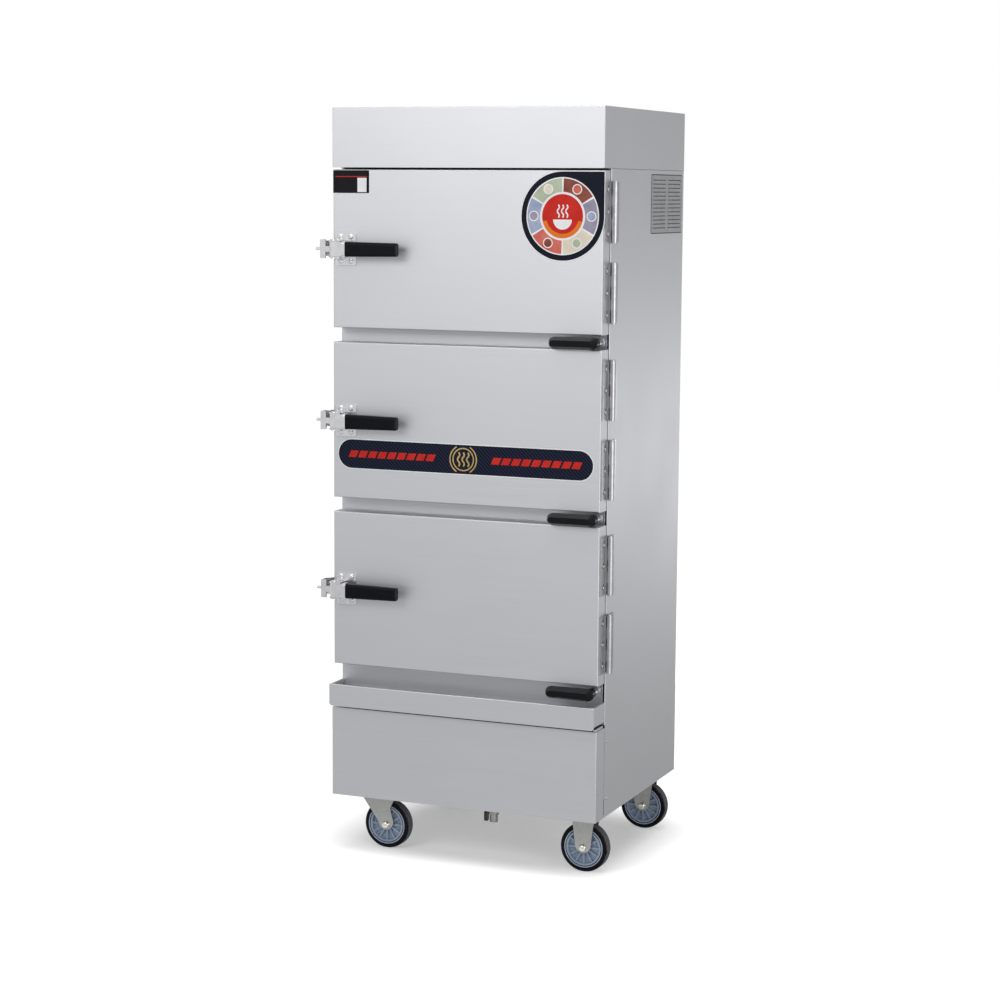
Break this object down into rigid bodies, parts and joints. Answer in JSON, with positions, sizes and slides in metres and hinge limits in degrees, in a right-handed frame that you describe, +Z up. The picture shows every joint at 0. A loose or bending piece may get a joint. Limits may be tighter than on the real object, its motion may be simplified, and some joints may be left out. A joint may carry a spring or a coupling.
{
  "type": "steamer cabinet",
  "caption": "Tall stainless steel food steaming cabinet on casters, with stacked hinged doors, lever latches, side steam valves, a drip tray and a boiler in its base",
  "frame": {"origin": "on the floor, under the centre of the box round the whole cabinet", "axes": "+Z up, the doors face -Y, and their hinges are on the +X side"},
  "size_m": [0.7753, 0.672, 1.89],
  "materials": {
    "stainless": "satin",
    "stainless_inner": "satin",
    "polished_steel": "polished",
    "zinc_plate": "satin",
    "black_grip": "satin",
    "black_handle": "gloss",
    "gasket": "matte",
    "tyre_rubber": "matte",
    "hub_plastic": "satin",
    "foam": "matte",
    "brass": "satin",
    "red_plastic": "satin",
    "grey_plastic": "matte"
  },
  "bodies": {
    "cabinet": {"side_panel_left": "stainless", "side_panel_right": "stainless", "back_panel": "stainless", "front_frame": "stainless", "top_cap": "stainless", "insulation": "foam", "lower_liner": "stainless_inner", "middle_liner": "stainless_inner", "upper_liner": "stainless_inner", "tray_racks": "stainless_inner", "base_frame": "zinc_plate", "drip_tray": "stainless", "lower_front_panel": "stainless", "water_tank": "stainless_inner", "heating_elements": "polished_steel", "water_inlet_valve": "brass", "steam_pipes": "stainless_inner", "drain_valve": "brass", "cable_gland": "grey_plastic", "body_hinge_leaves": "polished_steel", "hinge_pins": "polished_steel", "latch_keepers": "polished_steel", "rigid_caster_forks": "zinc_plate", "swivel_caster_plates": "zinc_plate"},
    "lower_door": {"lower_door_skin": "stainless", "lower_door_inner_panel": "stainless_inner", "lower_door_gasket": "gasket", "lower_door_hinge_leaves": "polished_steel", "lower_latch_base": "polished_steel"},
    "lower_latch": {"lower_latch_lever": "polished_steel", "lower_latch_grip": "black_grip"},
    "lower_steam_valve_handle": {"lower_steam_handle": "black_handle"},
    "middle_door": {"middle_door_skin": "stainless", "middle_door_inner_panel": "stainless_inner", "middle_door_gasket": "gasket", "middle_door_hinge_leaves": "polished_steel", "middle_latch_base": "polished_steel"},
    "middle_latch": {"middle_latch_lever": "polished_steel", "middle_latch_grip": "black_grip"},
    "middle_steam_valve_handle": {"middle_steam_handle": "black_handle"},
    "upper_door": {"upper_door_skin": "stainless", "upper_door_inner_panel": "stainless_inner", "upper_door_gasket": "gasket", "upper_door_hinge_leaves": "polished_steel", "upper_latch_base": "polished_steel"},
    "upper_latch": {"upper_latch_lever": "polished_steel", "upper_latch_grip": "black_grip"},
    "upper_steam_valve_handle": {"upper_steam_handle": "black_handle"},
    "front_left_caster": {"front_left_swivel_fork": "zinc_plate"},
    "front_left_wheel": {"front_left_tyre": "tyre_rubber", "front_left_hub": "hub_plastic"},
    "front_right_wheel": {"front_right_tyre": "tyre_rubber", "front_right_hub": "hub_plastic"},
    "rear_left_caster": {"rear_left_swivel_fork": "zinc_plate"},
    "rear_left_wheel": {"rear_left_tyre": "tyre_rubber", "rear_left_hub": "hub_plastic"},
    "rear_right_wheel": {"rear_right_tyre": "tyre_rubber", "rear_right_hub": "hub_plastic"},
    "float": {"float_arm": "grey_plastic"},
    "drain_handle": {"drain_lever": "red_plastic"}
  },
  "joints": [
    {"name": "lower_door_swing", "type": "hinge", "parent": "cabinet", "child": "lower_door", "pos_m": [0.3791, -0.238, 0.686], "axis": [0, 0, 1], "range_deg": [0, 180]},
    {"name": "lower_latch_pull", "type": "hinge", "parent": "lower_door", "child": "lower_latch", "pos_m": [-0.3307, -0.324, 0.686], "axis": [0, 0, -1], "range_deg": [0, 90]},
    {"name": "lower_steam_valve_turn", "type": "hinge", "parent": "cabinet", "child": "lower_steam_valve_handle", "pos_m": [0.3483, -0.298, 0.47], "axis": [0, 1, 0], "range_deg": [0, 90]},
    {"name": "middle_door_swing", "type": "hinge", "parent": "cabinet", "child": "middle_door", "pos_m": [0.3791, -0.238, 1.114], "axis": [0, 0, 1], "range_deg": [0, 180]},
    {"name": "middle_latch_pull", "type": "hinge", "parent": "middle_door", "child": "middle_latch", "pos_m": [-0.3307, -0.324, 1.114], "axis": [0, 0, -1], "range_deg": [0, 90]},
    {"name": "middle_steam_valve_turn", "type": "hinge", "parent": "cabinet", "child": "middle_steam_valve_handle", "pos_m": [0.3483, -0.298, 0.898], "axis": [0, 1, 0], "range_deg": [0, 90]},
    {"name": "upper_door_swing", "type": "hinge", "parent": "cabinet", "child": "upper_door", "pos_m": [0.3791, -0.238, 1.542], "axis": [0, 0, 1], "range_deg": [0, 180]},
    {"name": "upper_latch_pull", "type": "hinge", "parent": "upper_door", "child": "upper_latch", "pos_m": [-0.3307, -0.324, 1.542], "axis": [0, 0, -1], "range_deg": [0, 90]},
    {"name": "upper_steam_valve_turn", "type": "hinge", "parent": "cabinet", "child": "upper_steam_valve_handle", "pos_m": [0.3483, -0.298, 1.326], "axis": [0, 1, 0], "range_deg": [0, 90]},
    {"name": "front_left_caster_swivel", "type": "hinge", "parent": "cabinet", "child": "front_left_caster", "pos_m": [-0.2707, -0.202, 0.156], "axis": [0, 0, 1], "continuous": true},
    {"name": "front_left_wheel_spin", "type": "hinge", "parent": "front_left_caster", "child": "front_left_wheel", "pos_m": [-0.2327, -0.202, 0.0625], "axis": [0, 1, 0], "continuous": true},
    {"name": "front_right_wheel_spin", "type": "hinge", "parent": "cabinet", "child": "front_right_wheel", "pos_m": [0.3103, -0.202, 0.0625], "axis": [0, 1, 0], "continuous": true},
    {"name": "rear_left_caster_swivel", "type": "hinge", "parent": "cabinet", "child": "rear_left_caster", "pos_m": [-0.2707, 0.248, 0.156], "axis": [0, 0, 1], "continuous": true},
    {"name": "rear_left_wheel_spin", "type": "hinge", "parent": "rear_left_caster", "child": "rear_left_wheel", "pos_m": [-0.2327, 0.248, 0.0625], "axis": [0, 1, 0], "continuous": true},
    {"name": "rear_right_wheel_spin", "type": "hinge", "parent": "cabinet", "child": "rear_right_wheel", "pos_m": [0.3103, 0.248, 0.0625], "axis": [0, 1, 0], "continuous": true},
    {"name": "float_rise", "type": "hinge", "parent": "cabinet", "child": "float", "pos_m": [-0.1897, 0.2207, 0.385], "axis": [-1, 0, 0], "range_deg": [0, 35]},
    {"name": "drain_valve_turn", "type": "hinge", "parent": "cabinet", "child": "drain_handle", "pos_m": [0.0203, -0.138, 0.118], "axis": [-1, 0, 0], "range_deg": [0, 90]}
  ]
}
